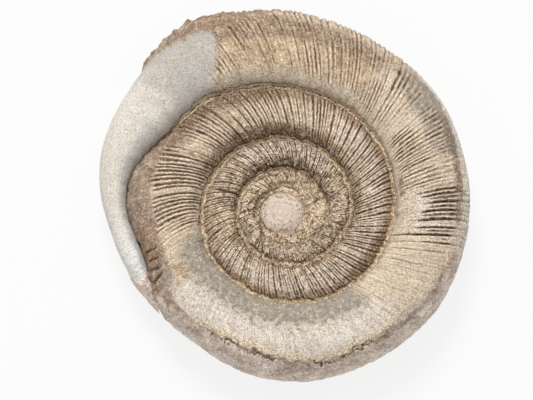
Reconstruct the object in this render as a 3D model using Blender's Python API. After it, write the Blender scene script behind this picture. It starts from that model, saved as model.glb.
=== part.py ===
"""An ammonite fossil lying on its flat worn side, with a tongue of its mudstone carrying on where the shell is broken.

The stone is one solid. A plane spiral gives its sizes: the seam between two turns runs along it, and the rounded
section of a turn stands on two neighbouring seams. Radii and heights are worked out about the coil's axis and its
middle plane, and the finished stone is then moved onto the origin, with its worn side at height 0.
"""

import math

import bmesh
import bpy
from mathutils import Vector

MM = 0.001
FULL_TURN = 360.0

# The spiral. A coil angle runs on from turn to turn, in degrees, and the shell grows anticlockwise seen from above
SEAM_AT_ZERO = 15.8 * MM
TURN_GROWTH = 1.697
COIL_START = -720.0
UNDERSIDE_START = -540.0
START_FADE = 180.0
SHELL_END = 477.0
ROCK_END = 576.0
RIM_START = ROCK_END - FULL_TURN

# Places where the seam strays from the true spiral: coil angle, half width in degrees, height
SEAM_SWELLS = (
    (-358.0, 34.0, 0.85 * MM),
    (-30.0, 22.0, -0.5 * MM),
    (210.0, 16.0, 0.5 * MM),
    (362.0, 75.0, -0.7 * MM),
    (490.0, 45.0, 1.2 * MM),
    (531.0, 29.0, 4.3 * MM),
    (ROCK_END, 12.0, 1.35 * MM),
)

# The rim is the outermost edge of the last turn. At its start it meets the tip of the rock tongue
RIM_SHARE = 0.975
RIM_SWELLS = (
    (262.0, 58.0, 1.7 * MM),
    (320.0, 25.0, 0.4 * MM),
    (398.0, 22.0, 0.5 * MM),
    (448.0, 24.0, 0.6 * MM),
    (472.0, 14.0, 1.2 * MM),
)
TIP_SWELL_HALF_WIDTH = 24.0
ROCK_SWELL = (523.0, 26.0, 1.3 * MM)

# Heights from the middle plane. The crest is the highest line of a turn, and the seam beside it lies lower
CREST_HEIGHT = 12.4 * MM
CREST_GROWTH_POWER = 0.6
CREST_PLACE = 0.42
SEAM_SHARE = 0.7
CHANNEL_END = 540.0
CHANNEL_HEIGHT = 1.2 * MM
WALL_POWER = 0.9
FLANK_POWER = 0.82
BASE_DEPTH = 9.9 * MM
BASE_CREST_SHARE = 1.08

# The smooth raised disc in the middle of the coil, a little off the axis
DISC_CENTRE = (-1.1 * MM, -0.6 * MM)
DISC_RADIUS = 5.2 * MM
DISC_TOP_RADIUS = 4.5 * MM
DISC_FOOT_HEIGHT = 3.1 * MM
DISC_EDGE_HEIGHT = 4.2 * MM
DISC_TOP_HEIGHT = 4.6 * MM
DISC_SIDES = 36

# Ribs lean forward a little on their way out. Where the shell is worn they fade away
RIBS_PER_TURN = 164
RIB_LEAN = 3.0
RIB_DEPTH_SHARE = 0.0085
WORN_FROM, WORN_TO, WORN_FADE = 205.0, 292.0, 16.0
RIB_FADE = 0.25

# The broken edge of the shell stands above the rock, and a crust clings to the worn stretch outside a ledge
SHELL_THICKNESS = 0.4 * MM
LEAN_FADE = 40.0
CRUST_FROM, CRUST_TO, CRUST_FADE = 222.0, 338.0, 12.0
CRUST_HEIGHT = 0.5 * MM
VENTER_PLACE = 0.8

# Facets: steps along the coil in half ribs, and cells across a turn
HALF_RIB = FULL_TURN / RIBS_PER_TURN / 2
PLAIN_HALF_RIBS = 4
UNDERSIDE_HALF_RIBS = 6
RIBBED_STRETCHES = ((-120.0, 198.0), (300.0, SHELL_END + 2 * HALF_RIB))
WALL_CELLS = 2
UNDERSIDE_WALL_CELLS = 1
FLANK_CELLS = 4

STONE_COLOUR = (0.47, 0.40, 0.32, 1.0)
STONE_ROUGHNESS = 0.85


def clear_scene():
    for thing in list(bpy.data.objects):
        bpy.data.objects.remove(thing)


def smooth_step(low, high, value):
    share = min(1.0, max(0.0, (value - low) / (high - low)))
    return share * share * (3 - 2 * share)


def stretch(angle, start, end, fade):
    """1 between start and end, falling to 0 over fade on each side."""
    return smooth_step(start - fade, start, angle) * (1 - smooth_step(end, end + fade, angle))


def swell(angle, places):
    """The sum of the smooth humps in places at a coil angle."""
    total = 0.0
    for centre, half_width, height in places:
        share = abs(angle - centre) / half_width
        if share < 1:
            total += height * math.cos(share * math.pi / 2) ** 2
    return total


def spiral(angle):
    return SEAM_AT_ZERO * TURN_GROWTH ** (angle / FULL_TURN)


def seam_radius(angle):
    return spiral(angle) + swell(angle, SEAM_SWELLS)


def shell_rim_radius(angle):
    tip_swell = seam_radius(ROCK_END) - RIM_SHARE * spiral(ROCK_END)
    swells = RIM_SWELLS + ((RIM_START, TIP_SWELL_HALF_WIDTH, tip_swell),)
    return RIM_SHARE * spiral(angle + FULL_TURN) + swell(angle, swells)


def rock_share(angle):
    """How far along the rock tongue a coil angle is, from 0 at the shell's broken end to 1 at the tongue's tip."""
    return min(1.0, max(0.0, (angle - SHELL_END) / (ROCK_END - SHELL_END)))


def rim_radius(angle):
    if angle <= SHELL_END:
        return shell_rim_radius(angle)
    start = shell_rim_radius(SHELL_END)
    return start + rock_share(angle) * (seam_radius(ROCK_END) - start) + swell(angle, (ROCK_SWELL,))


def shell_crest_height(angle):
    return CREST_HEIGHT * (spiral(angle) / spiral(SHELL_END)) ** CREST_GROWTH_POWER


def crest_height(angle, underside):
    """The rock tongue thins with its width above, and keeps its full depth below."""
    if underside and angle > RIM_START:
        return max(shell_crest_height(min(angle, SHELL_END)), BASE_CREST_SHARE * BASE_DEPTH)
    if angle <= SHELL_END:
        return shell_crest_height(angle)
    width = rim_radius(angle) - seam_radius(angle)
    full_width = rim_radius(SHELL_END) - seam_radius(SHELL_END)
    return shell_crest_height(SHELL_END) * max(0.0, width / full_width) ** 0.8


def seam_height(angle, underside):
    """Along the rock tongue the seam drops into a channel above, and the rock fills it below."""
    on_shell = SEAM_SHARE * shell_crest_height(min(angle, SHELL_END) - FULL_TURN)
    into_channel = smooth_step(SHELL_END, CHANNEL_END, angle)
    end = BASE_DEPTH if underside else CHANNEL_HEIGHT * (1 - smooth_step(CHANNEL_END, ROCK_END, angle))
    return on_shell + into_channel * (end - on_shell)


def section(angle, underside):
    """The outline of a turn's section at a coil angle, as radius and height, from its inner to its outer edge.

    The first turn rises out of the filling in the middle of the coil.
    """
    wall_cells = UNDERSIDE_WALL_CELLS if underside else WALL_CELLS
    inner, inner_height = seam_radius(angle), seam_height(angle, underside)
    crest = crest_height(angle, underside)
    if angle < RIM_START:
        outer, outer_height = seam_radius(angle + FULL_TURN), seam_height(angle + FULL_TURN, underside)
    else:
        outer, outer_height = rim_radius(angle), 0.0
    crest_radius = inner + CREST_PLACE * (outer - inner)
    points = []
    for step in range(wall_cells):
        turn = step / wall_cells * math.pi / 2
        radius = crest_radius - (crest_radius - inner) * math.cos(turn) ** WALL_POWER
        points.append((radius, inner_height + (crest - inner_height) * math.sin(turn) ** WALL_POWER))
    last_turn = math.acos(min(0.999, (outer_height / crest) ** (1 / FLANK_POWER)))
    for step in range(FLANK_CELLS + 1):
        turn = step / FLANK_CELLS * last_turn
        width = (math.sin(turn) / math.sin(last_turn)) ** FLANK_POWER
        points.append((crest_radius + (outer - crest_radius) * width, crest * abs(math.cos(turn)) ** FLANK_POWER))
    start = UNDERSIDE_START if underside else COIL_START
    risen = smooth_step(start, start + START_FADE, angle)
    slope = (outer_height - inner_height) / (outer - inner)
    return [(r, z + (1 - risen) * (inner_height + slope * (r - inner) - z)) for r, z in points]


def share_across(row, underside):
    """How far across a turn a row of points lies, from 0 at the inner seam to 1 at the outer edge."""
    wall_cells = UNDERSIDE_WALL_CELLS if underside else WALL_CELLS
    if row < wall_cells:
        return CREST_PLACE * row / wall_cells
    return CREST_PLACE + (1 - CREST_PLACE) * (row - wall_cells) / FLANK_CELLS


def relief(column, across, radius, underside):
    """Height added at a column: odd columns lie in the groove between two ribs."""
    angle = column * HALF_RIB
    if angle > SHELL_END:
        return -SHELL_THICKNESS * (1 - rock_share(angle))
    if underside and across < VENTER_PLACE:
        return 0.0
    crust = CRUST_HEIGHT * stretch(angle, CRUST_FROM, CRUST_TO, CRUST_FADE) * (across > VENTER_PLACE)
    if not any(start <= angle <= end for start, end in RIBBED_STRETCHES):
        return crust
    wear = 1 - stretch(angle, WORN_FROM, WORN_TO, WORN_FADE)
    return crust - RIB_DEPTH_SHARE * radius * wear * smooth_step(0.0, RIB_FADE, across) * (column % 2)


def lean(angle, across):
    return RIB_LEAN * across * (1 - smooth_step(SHELL_END, SHELL_END + LEAN_FADE, angle))


def place(angle, radius, height, underside):
    turn = math.radians(angle)
    if underside:
        height = -min(height, BASE_DEPTH)
    return Vector((radius * math.cos(turn), radius * math.sin(turn), height))


def columns(underside, plain):
    """Column numbers along the coil, one for each half rib where ribs show, unless plain, and fewer elsewhere."""
    step = UNDERSIDE_HALF_RIBS if underside else PLAIN_HALF_RIBS
    start = UNDERSIDE_START if underside else COIL_START
    stretches = RIBBED_STRETCHES[1:] if underside else RIBBED_STRETCHES
    chosen = []
    for column in range(round(start / HALF_RIB), math.ceil(ROCK_END / HALF_RIB)):
        ribbed = any(first <= column * HALF_RIB <= last for first, last in stretches)
        if column % step == 0 or (ribbed and not plain):
            chosen.append(column)
    return chosen


def stitch(mesh, inner_row, outer_row):
    """Fills between two rows of (angle, vertex) with triangles, always going on along the row that is behind."""
    i = j = 0
    while i < len(inner_row) - 1 or j < len(outer_row) - 1:
        next_inner = inner_row[i + 1][0] if i < len(inner_row) - 1 else math.inf
        next_outer = outer_row[j + 1][0] if j < len(outer_row) - 1 else math.inf
        corners = [inner_row[i][1], outer_row[j][1]]
        if next_inner <= next_outer:
            i += 1
            corners.append(inner_row[i][1])
        else:
            j += 1
            corners.append(outer_row[j][1])
        if len(set(corners)) == 3:
            mesh.faces.new(corners)


def seam_row(mesh, tip, underside):
    row = []
    for column in columns(underside, plain=True):
        angle = column * HALF_RIB
        point = place(angle, seam_radius(angle), seam_height(angle, underside), underside)
        row.append((angle, mesh.verts.new(point)))
    return row + [(ROCK_END, tip)]


def inner_rows(mesh, tip, underside):
    """The rows of points between the inner seam and the outer edge of each turn."""
    rows = []
    last_row = (UNDERSIDE_WALL_CELLS if underside else WALL_CELLS) + FLANK_CELLS
    for number in range(1, last_row):
        across = share_across(number, underside)
        row = []
        for column in columns(underside, plain=underside and across < VENTER_PLACE):
            angle = column * HALF_RIB + lean(column * HALF_RIB, across)
            outline = section(angle, underside)
            run = outline[number + 1][0] - outline[number - 1][0]
            rise = outline[number + 1][1] - outline[number - 1][1]
            radius, height = outline[number]
            lift = relief(column, across, radius, underside) / math.hypot(run, rise)
            row.append((angle, mesh.verts.new(place(angle, radius - lift * rise, height + lift * run, underside))))
        rows.append(row + [(ROCK_END, tip)])
    return rows


def rim_row(mesh, tip):
    """The outermost edge, where the upper side and the underside meet. It starts and ends at the rock's tip."""
    row = [(RIM_START, tip)]
    for column in columns(underside=False, plain=False):
        angle = column * HALF_RIB + lean(column * HALF_RIB, 1.0)
        if column * HALF_RIB > RIM_START:
            radius = rim_radius(angle)
            radius += relief(column, 1.0, radius, underside=False)
            row.append((angle, mesh.verts.new(place(angle, radius, 0.0, underside=False))))
    return row + [(ROCK_END, tip)]


def first_loop(seam, rows):
    """The edge round the middle of the coil: one turn of the seam, and the first points of the rows back to its start.

    Returns the loop and the number of seam points in it.
    """
    turn = [vertex for angle, vertex in seam if angle <= seam[0][0] + FULL_TURN + 0.01]
    return turn + [row[0][1] for row in reversed(rows)], len(turn)


def close_with_fan(mesh, loop, centre):
    hub = mesh.verts.new(centre)
    for first, second in zip(loop, loop[1:] + loop[:1]):
        mesh.faces.new((hub, first, second))


def disc_ring(mesh, radius, height):
    ring = []
    for side in range(DISC_SIDES):
        turn = math.radians(side * FULL_TURN / DISC_SIDES)
        x = DISC_CENTRE[0] + radius * math.cos(turn)
        y = DISC_CENTRE[1] + radius * math.sin(turn)
        ring.append(mesh.verts.new((x, y, height)))
    return ring


def close_with_disc(mesh, loop):
    """The raised disc: the loop is joined to the disc's foot by turning round the disc's own centre."""
    foot = disc_ring(mesh, DISC_RADIUS, DISC_FOOT_HEIGHT)
    top = disc_ring(mesh, DISC_TOP_RADIUS, DISC_EDGE_HEIGHT)
    around = []
    before = None
    for vertex in loop + loop[:1]:
        angle = math.degrees(math.atan2(vertex.co.y - DISC_CENTRE[1], vertex.co.x - DISC_CENTRE[0])) % FULL_TURN
        while before is not None and angle < before - FULL_TURN / 2:
            angle += FULL_TURN
        around.append((angle, vertex))
        before = angle
    ring = [(side * FULL_TURN / DISC_SIDES, foot[side % DISC_SIDES]) for side in range(DISC_SIDES + 1)]
    stitch(mesh, ring, around)
    for side in range(DISC_SIDES):
        following = (side + 1) % DISC_SIDES
        mesh.faces.new((foot[side], foot[following], top[following], top[side]))
    close_with_fan(mesh, top, (*DISC_CENTRE, DISC_TOP_HEIGHT))


def build_side(mesh, rim, tip, underside):
    seam = seam_row(mesh, tip, underside)
    rows = inner_rows(mesh, tip, underside)
    stitch(mesh, seam, rows[0])
    for inner_row, outer_row in zip(rows, rows[1:]):
        stitch(mesh, inner_row, outer_row)
    loop, seam_points = first_loop(seam, rows)
    next_seam = [(angle - FULL_TURN, vertex) for angle, vertex in seam]
    split = max(number for number, (angle, _) in enumerate(rows[-1]) if angle <= RIM_START)
    stitch(mesh, rows[-1][: split + 1], next_seam[seam_points - 1:])
    stitch(mesh, rows[-1][split:], rim)
    if underside:
        close_with_fan(mesh, loop, (*DISC_CENTRE, loop[0].co.z))
    else:
        close_with_disc(mesh, loop)


def centre_on_origin(mesh):
    """Moves the stone so that its box is centred over the origin, with the worn side at height 0."""
    low = [min(vertex.co[axis] for vertex in mesh.verts) for axis in range(3)]
    high = [max(vertex.co[axis] for vertex in mesh.verts) for axis in range(3)]
    shift = (-(low[0] + high[0]) / 2, -(low[1] + high[1]) / 2, -low[2])
    bmesh.ops.translate(mesh, verts=mesh.verts, vec=shift)


def stone_material():
    material = bpy.data.materials.new("fossil_stone")
    material.use_nodes = True
    shader = material.node_tree.nodes["Principled BSDF"]
    shader.inputs["Base Color"].default_value = STONE_COLOUR
    shader.inputs["Roughness"].default_value = STONE_ROUGHNESS
    return material


def build_ammonite():
    mesh = bmesh.new()
    tip = mesh.verts.new(place(ROCK_END, seam_radius(ROCK_END), 0.0, underside=False))
    rim = rim_row(mesh, tip)
    build_side(mesh, rim, tip, underside=False)
    build_side(mesh, rim, tip, underside=True)
    bmesh.ops.triangulate(mesh, faces=mesh.faces)
    bmesh.ops.recalc_face_normals(mesh, faces=mesh.faces)
    centre_on_origin(mesh)
    data = bpy.data.meshes.new("ammonite")
    mesh.to_mesh(data)
    mesh.free()
    data.materials.append(stone_material())
    stone = bpy.data.objects.new("ammonite", data)
    bpy.context.scene.collection.objects.link(stone)


clear_scene()
build_ammonite()
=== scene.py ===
import math

import bpy
import numpy as np
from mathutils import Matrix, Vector, noise


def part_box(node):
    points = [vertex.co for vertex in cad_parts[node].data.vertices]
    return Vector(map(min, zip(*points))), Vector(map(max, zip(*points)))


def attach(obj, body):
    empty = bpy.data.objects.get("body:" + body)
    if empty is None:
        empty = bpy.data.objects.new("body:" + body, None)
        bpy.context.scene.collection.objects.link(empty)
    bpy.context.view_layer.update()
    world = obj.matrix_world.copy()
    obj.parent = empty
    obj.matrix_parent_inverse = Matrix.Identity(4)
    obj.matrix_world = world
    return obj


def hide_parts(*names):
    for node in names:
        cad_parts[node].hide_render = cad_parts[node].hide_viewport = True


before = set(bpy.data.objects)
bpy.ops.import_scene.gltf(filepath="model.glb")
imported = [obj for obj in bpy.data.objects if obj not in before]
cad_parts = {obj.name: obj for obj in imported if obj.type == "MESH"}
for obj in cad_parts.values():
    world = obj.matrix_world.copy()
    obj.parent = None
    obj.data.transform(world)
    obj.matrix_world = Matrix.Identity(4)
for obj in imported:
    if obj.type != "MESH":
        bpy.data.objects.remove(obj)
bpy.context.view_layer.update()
MM = 0.001

# The ammonite is a shell turned to stone: pale, brown-stained calcite over a filling of grey mudstone, which
# carries on bare past the broken end of the outer turn. It is all one piece, worn smooth in places.
# The coil is a plane spiral. Its seams, where one turn lies on the next, run along the spiral, and a turn's
# rounded section stands on two neighbouring seams. Sizes are worked out about the coil's axis and its middle
# plane. A coil angle runs on from turn to turn, in degrees, anticlockwise seen from above.
FULL_TURN = 360.0
SEAM_AT_ZERO = 15.8 * MM
TURN_GROWTH = 1.697
COIL_START, UNDERSIDE_START = -720.0, -540.0
START_FADE = 180.0
SHELL_END, ROCK_END = 477.0, 576.0
RIM_START = ROCK_END - FULL_TURN
SEAM_SWELLS = (
    (-358.0, 34.0, 0.85 * MM),
    (-30.0, 22.0, -0.5 * MM),
    (210.0, 16.0, 0.5 * MM),
    (362.0, 75.0, -0.7 * MM),
    (490.0, 45.0, 1.2 * MM),
    (531.0, 29.0, 4.3 * MM),
    (ROCK_END, 12.0, 1.35 * MM),
)
SEAM_WOBBLE = 0.09 * MM
SEAM_WAVES = ((11, 1.0), (27, 1.0), (53, 0.8), (88, 0.6))
RIM_SHARE = 0.975
RIM_SWELLS = (
    (262.0, 58.0, 1.7 * MM),
    (320.0, 25.0, 0.4 * MM),
    (398.0, 22.0, 0.5 * MM),
    (448.0, 24.0, 0.6 * MM),
    (472.0, 14.0, 1.2 * MM),
)
TIP_SWELL_HALF_WIDTH = 24.0
ROCK_SWELL = (523.0, 26.0, 1.3 * MM)
CREST_HEIGHT, CREST_GROWTH_POWER, CREST_PLACE = 12.4 * MM, 0.6, 0.42
SEAM_SHARE = 0.7
CHANNEL_END, CHANNEL_HEIGHT = 540.0, 1.2 * MM
ROCK_THINNING_POWER = 0.8
WALL_POWER, FLANK_POWER = 0.9, 0.82
BASE_DEPTH, BASE_CREST_SHARE = 9.9 * MM, 1.08
TIP_FADE = 5.0
TINY = 0.01 * MM


def ease(low, high, value):
    share = np.clip((value - low) / (high - low), 0.0, 1.0)
    return share * share * (3 - 2 * share)


def stretch(value, start, end, fade):
    """1 between start and end, falling to 0 over fade on each side."""
    return ease(start - fade, start, value) * (1 - ease(end, end + fade, value))


def swell(angle, places):
    """The sum of the smooth humps in places, each a coil angle, a half width in degrees and a height."""
    total = np.zeros_like(angle)
    for centre, half_width, height in places:
        share = np.minimum(np.abs(angle - centre) / half_width, 1.0)
        total = total + height * np.cos(share * math.pi / 2) ** 2
    return total


def spiral(angle):
    return SEAM_AT_ZERO * TURN_GROWTH ** (angle / FULL_TURN)


def wander(value, waves, seed):
    """A slow uneven line: sines of the given cycles per turn and sizes, at phases that the seed sets."""
    total = np.zeros_like(value, dtype=float)
    for number, (cycles, size) in enumerate(waves):
        total = total + size * np.sin(np.radians(value * cycles) + 2.4 * number + 1.7 * seed)
    return total


def seam_radius(angle):
    fade = ease(COIL_START, UNDERSIDE_START, angle) * (1 - ease(540, 560, angle))
    return spiral(angle) + swell(angle, SEAM_SWELLS) + SEAM_WOBBLE * fade * wander(angle, SEAM_WAVES, 5)


def shell_rim_radius(angle):
    tip_swell = seam_radius(np.array(ROCK_END)) - RIM_SHARE * spiral(ROCK_END)
    swells = RIM_SWELLS + ((RIM_START, TIP_SWELL_HALF_WIDTH, tip_swell),)
    return RIM_SHARE * spiral(angle + FULL_TURN) + swell(angle, swells)


def rock_share(angle):
    """How far along the rock tongue a coil angle is, from 0 at the shell's broken end to 1 at its tip."""
    return np.clip((angle - SHELL_END) / (ROCK_END - SHELL_END), 0.0, 1.0)


def rim_radius(angle):
    start = shell_rim_radius(np.array(SHELL_END))
    rock = start + rock_share(angle) * (seam_radius(np.array(ROCK_END)) - start) + swell(angle, (ROCK_SWELL,))
    return np.where(angle <= SHELL_END, shell_rim_radius(angle), rock)


def shell_crest_height(angle):
    return CREST_HEIGHT * (spiral(np.minimum(angle, SHELL_END)) / spiral(SHELL_END)) ** CREST_GROWTH_POWER


def crest_height(angle, underside):
    """The rock tongue thins with its width above. Below it keeps its full depth, and ends in a point."""
    on_shell = shell_crest_height(angle)
    if underside:
        on_rim = np.maximum(on_shell, BASE_CREST_SHARE * BASE_DEPTH) * (angle < ROCK_END)
        return np.where(angle > RIM_START, on_rim, on_shell)
    full_width = rim_radius(np.array(SHELL_END)) - seam_radius(np.array(SHELL_END))
    width = np.maximum(rim_radius(angle) - seam_radius(angle), 0.0)
    return np.where(angle <= SHELL_END, on_shell, on_shell * (width / full_width) ** ROCK_THINNING_POWER)


def seam_height(angle, underside):
    """Along the rock tongue the seam drops into a channel above, and the rock fills it below."""
    on_shell = SEAM_SHARE * shell_crest_height(np.minimum(angle, SHELL_END) - FULL_TURN)
    end = BASE_DEPTH * (1 - ease(ROCK_END - TIP_FADE, ROCK_END, angle))
    if not underside:
        end = CHANNEL_HEIGHT * (1 - ease(CHANNEL_END, ROCK_END, angle))
    return on_shell + ease(SHELL_END, CHANNEL_END, angle) * (end - on_shell)


def surface(angle, across, underside):
    """Radius and height of the smooth stone. Across is 0 at a turn's inner seam and 1 at its outer edge."""
    inner, inner_height = seam_radius(angle), seam_height(angle, underside)
    crest = crest_height(angle, underside)
    outer = np.where(angle >= RIM_START, rim_radius(angle), seam_radius(angle + FULL_TURN))
    outer_height = np.where(angle >= RIM_START, 0.0, seam_height(angle + FULL_TURN, underside))
    crest_radius = inner + CREST_PLACE * (outer - inner)
    wall_turn = np.clip(across / CREST_PLACE, 0.0, 1.0) * math.pi / 2
    wall_radius = crest_radius - (crest_radius - inner) * np.abs(np.cos(wall_turn)) ** WALL_POWER
    wall_height = inner_height + (crest - inner_height) * np.sin(wall_turn) ** WALL_POWER
    drop = np.clip(outer_height / np.maximum(crest, TINY), 0.0, 0.99) ** (1 / FLANK_POWER)
    last_turn = np.arccos(drop)
    flank_turn = np.clip((across - CREST_PLACE) / (1 - CREST_PLACE), 0.0, 1.0) * last_turn
    flank_width = (np.sin(flank_turn) / np.sin(last_turn)) ** FLANK_POWER
    fall = (1 - np.abs(np.cos(flank_turn)) ** FLANK_POWER) / (1 - np.abs(np.cos(last_turn)) ** FLANK_POWER)
    radius = np.where(across < CREST_PLACE, wall_radius, crest_radius + (outer - crest_radius) * flank_width)
    height = np.where(across < CREST_PLACE, wall_height, crest + (outer_height - crest) * fall)
    start = UNDERSIDE_START if underside else COIL_START
    rise = (outer_height - inner_height) * (radius - inner)
    straight = inner_height + rise / np.maximum(outer - inner, TINY)
    height = straight + ease(start, start + START_FADE, angle) * (height - straight)
    return radius, -np.minimum(height, BASE_DEPTH) if underside else height


# The coil is laid out as strips, one for each turn, in columns that follow the ribs and in rows from a turn's
# inner seam to its outer edge. The rows crowd together beside the seams.
COLUMNS_PER_TURN = 1110
COLUMN_STEP = FULL_TURN / COLUMNS_PER_TURN
LEAN_COLUMNS = 25
LEAN_FADE = 40.0
TURN_COLUMNS = COLUMNS_PER_TURN + LEAN_COLUMNS
LAST_START = -TURN_COLUMNS
SECOND_START = LAST_START - COLUMNS_PER_TURN
THIRD_START = SECOND_START - COLUMNS_PER_TURN
FIRST_COLUMN = -3993
# First column of each strip counted back from the tip of the rock, then its rows on the wall and on the flank
UPPER_STRIPS = ((FIRST_COLUMN, 4, 4), (THIRD_START, 5, 8), (SECOND_START, 7, 13), (LAST_START, 9, 20))
LOWER_STRIPS = ((-3443, 1, 1), (SECOND_START, 1, 3), (LAST_START, 2, 7))
ROW_CROWDING = 1.5
# Coil angle and rib number: 100 ribs to a turn in the middle of the coil, then 150, 170 and 222
RIB_COUNTS = ((-720, -606), (-520, -550), (-152, -397), (208, -227), (576, 0))
# Coil angle and how much shallower every second groove is, as a share
PAIRING = (
    (-520, 0.7), (-152, 0.65), (140, 0.65), (162, 0.3), (200, 0.4), (300, 0.9), (345, 0.9), (349, 0.5),
    (363, 0.5), (367, 0.2), (444, 0.2), (452, 0.5),
)
# Coil angle and groove depth in millimetres
RIB_DEPTHS = (
    (-720, 0.0), (-620, 0.12), (-540, 0.20), (-490, 0.27), (-400, 0.27), (-372, 0.14), (-330, 0.18),
    (-300, 0.42), (-240, 0.42), (-200, 0.36), (-140, 0.33), (-60, 0.42), (60, 0.44), (110, 0.42), (150, 0.32),
    (162, 0.48), (186, 0.46), (196, 0.14), (206, 0.02), (292, 0.02), (312, 0.10), (343, 0.14), (346, 0.95),
    (364, 0.95), (367, 0.24), (372, 0.24), (376, 0.46), (391, 0.44), (396, 0.20), (402, 0.22), (410, 0.34),
    (484, 0.36),
)
# Coil angle, and how many degrees the ribs bow in their middle, and slant on there for each unit across
RIB_BOWS = ((352, 0.0), (370, -0.8), (392, -0.8), (410, -0.3), (480, 0.0))
RIB_SLANTS = (
    (-100, 0), (-80, -4), (-40, -3), (-10, 4), (20, 2), (40, 0), (150, 0), (166, 6), (190, 6), (204, 0),
    (334, 0), (342, -2), (354, -7), (391, -9), (402, 0), (414, 5), (434, 6), (448, 0),
)
RIB_WAVES = ((9, 0.25), (23, 0.14), (57, 0.07))
GROOVE_POWER = 1.7
# Place across and coil angle of the line along which the shell breaks off
BROKEN_EDGE = ((0.0, 483.0), (0.20, 480.0), (0.35, 476.0), (0.50, 473.0), (0.62, 474.0), (1.0, 476.0))
SHELL_THICKNESS = 0.45 * MM
SEAM_BEAD = 0.28 * MM
CRUST_HEIGHT = 0.45 * MM
# Coil angle and place across of the uneven line beyond which a brown crust covers the outer side of a turn
LAST_LEDGE = (
    (216, 0.64), (231, 0.70), (249, 0.64), (266, 0.665), (282, 0.74), (295, 0.70), (306, 0.70), (318, 0.63),
    (330, 0.68), (339, 0.75), (352, 0.71),
)
END_LEDGE = ((450, 0.80), (462, 0.66), (470, 0.58), (478, 0.60), (484, 0.68), (490, 0.80), (494, 0.95))
LEDGE_REACH = 32 * MM
SECOND_LEDGE = ((138, 0.95), (150, 0.74), (165, 0.58), (180, 0.53), (195, 0.60), (206, 0.74), (216, 0.78))
# Cracks: coil angle and place across of both ends, half width and depth
CRACKS = (
    (-197.0, 0.02, -195.0, 0.66, 0.27 * MM, 0.5 * MM),
    (-347.0, 0.02, -322.0, 0.03, 0.30 * MM, 0.4 * MM),
    (-323.0, 0.02, -316.0, 0.48, 0.24 * MM, 0.3 * MM),
    (-318.0, 0.38, -328.0, 0.66, 0.18 * MM, 0.2 * MM),
    (-376.0, 0.25, -377.0, 0.75, 0.20 * MM, 0.3 * MM),
    (-286.0, 0.10, -283.0, 0.55, 0.24 * MM, 0.4 * MM),
    (-262.0, 0.55, -259.0, 0.90, 0.16 * MM, 0.2 * MM),
    (197.0, 0.10, 202.0, 0.60, 0.07 * MM, 0.03 * MM),
    (198.4, 0.81, 198.6, 0.66, 0.26 * MM, 0.45 * MM),
    (202.0, 0.79, 202.5, 0.67, 0.24 * MM, 0.40 * MM),
    (205.4, 0.82, 206.6, 0.66, 0.26 * MM, 0.45 * MM),
    (210.2, 0.83, 209.0, 0.69, 0.40 * MM, 0.60 * MM),
    (452.0, 0.62, 455.0, 0.80, 0.12 * MM, 0.12 * MM),
    (366.5, 0.52, 364.0, 0.80, 0.16 * MM, 0.25 * MM),
)

chance = np.random.default_rng(7)
FIRST_RIB, RIB_TOTAL = -640, 700
rib_luck = chance.uniform(0.0, 1.0, (4, RIB_TOTAL))


def lumps(points, size, octaves=3):
    """Rough stone: fractal noise from about -1 to 1, with its largest lumps of the given size."""
    places = points.reshape(-1, 3).tolist()
    values = [noise.fractal(Vector(place) / size, 0.9, 2.0, octaves) for place in places]
    return np.array(values).reshape(points.shape[:-1])


def line(angle, knots):
    return np.interp(angle, *zip(*knots))


def bell(value, half_width):
    return np.exp(-((value / half_width) ** 2))


def broken_edge(across):
    """The coil angle at which the shell breaks off, across the last turn."""
    return line(across, BROKEN_EDGE) + 0.5 * np.sin(9 * across) + 0.3 * np.sin(23 * across + 1)


def groove(angle, across, rib, underside):
    """How far the surface is cut between two ribs. Each groove has its own depth and length."""
    number = np.round(rib).astype(int) - FIRST_RIB
    profile = (0.5 + 0.5 * np.cos(2 * math.pi * rib)) ** GROOVE_POWER
    evenness = 0.5 * stretch(angle, 347, 480, 10)
    deep = 0.45 + 0.3 * evenness + (0.85 - evenness) * rib_luck[0][number]
    deep = deep * ease(0.02, 0.12, rib_luck[3][number])
    deep = deep * (1 - line(angle, PAIRING) * (number % 2))
    if underside:
        across = 2 - across
    on_top = stretch(angle, 416, 480, 8)
    inner_end = 0.07 + 0.11 * on_top
    length = ease(inner_end, inner_end + 0.04 + 0.12 * rib_luck[1][number], across)
    length = length * (1 - 0.5 * ease(0.8, 1.0, across) * (angle < RIM_START))
    strong = ease(344, 347, angle) * (1 - ease(398, 410, angle))
    inner_end = 0.18 + stretch(angle, 347, 365, 3) * (0.19 + 0.08 * rib_luck[1][number])
    length = length * (1 - strong * (1 - ease(inner_end - 0.04, inner_end + 0.02, across)))
    length = length * (1 - 0.6 * strong * ease(0.66, 0.72, across + 0.08 * rib_luck[3][number]))
    length = length * (1 + 0.9 * on_top * ease(0.62, 0.85, across))
    length = length * (1 - 0.85 * strong * ease(1.0, 1.08, across))
    return deep * profile * length * (1 - ease(1.2, 1.6, across))


def cracks(points, angle, across):
    """How deep cracks cut into the surface, and how dark they are, at each point."""
    depth, dark = np.zeros_like(angle), np.zeros_like(angle)
    shake = lumps(points, 1.2 * MM) * 0.2 * MM
    for from_angle, from_across, to_angle, to_across, half_width, crack_depth in CRACKS:
        around = spiral(from_angle) * 1.3 * math.pi / 180
        over = (spiral(from_angle + FULL_TURN) - spiral(from_angle)) * 1.2
        step = np.array([(to_angle - from_angle) * around, (to_across - from_across) * over])
        place = np.stack([(angle - from_angle) * around, (across - from_across) * over], axis=-1)
        share = np.clip((place @ step) / (step @ step), 0.0, 1.0)
        away = np.linalg.norm(place - share[..., None] * step, axis=-1) + shake
        mask = bell(away, half_width * (0.6 + 0.4 * np.sin(share * math.pi)))
        depth, dark = np.maximum(depth, mask * crack_depth), np.maximum(dark, mask)
    return depth, dark


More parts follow.
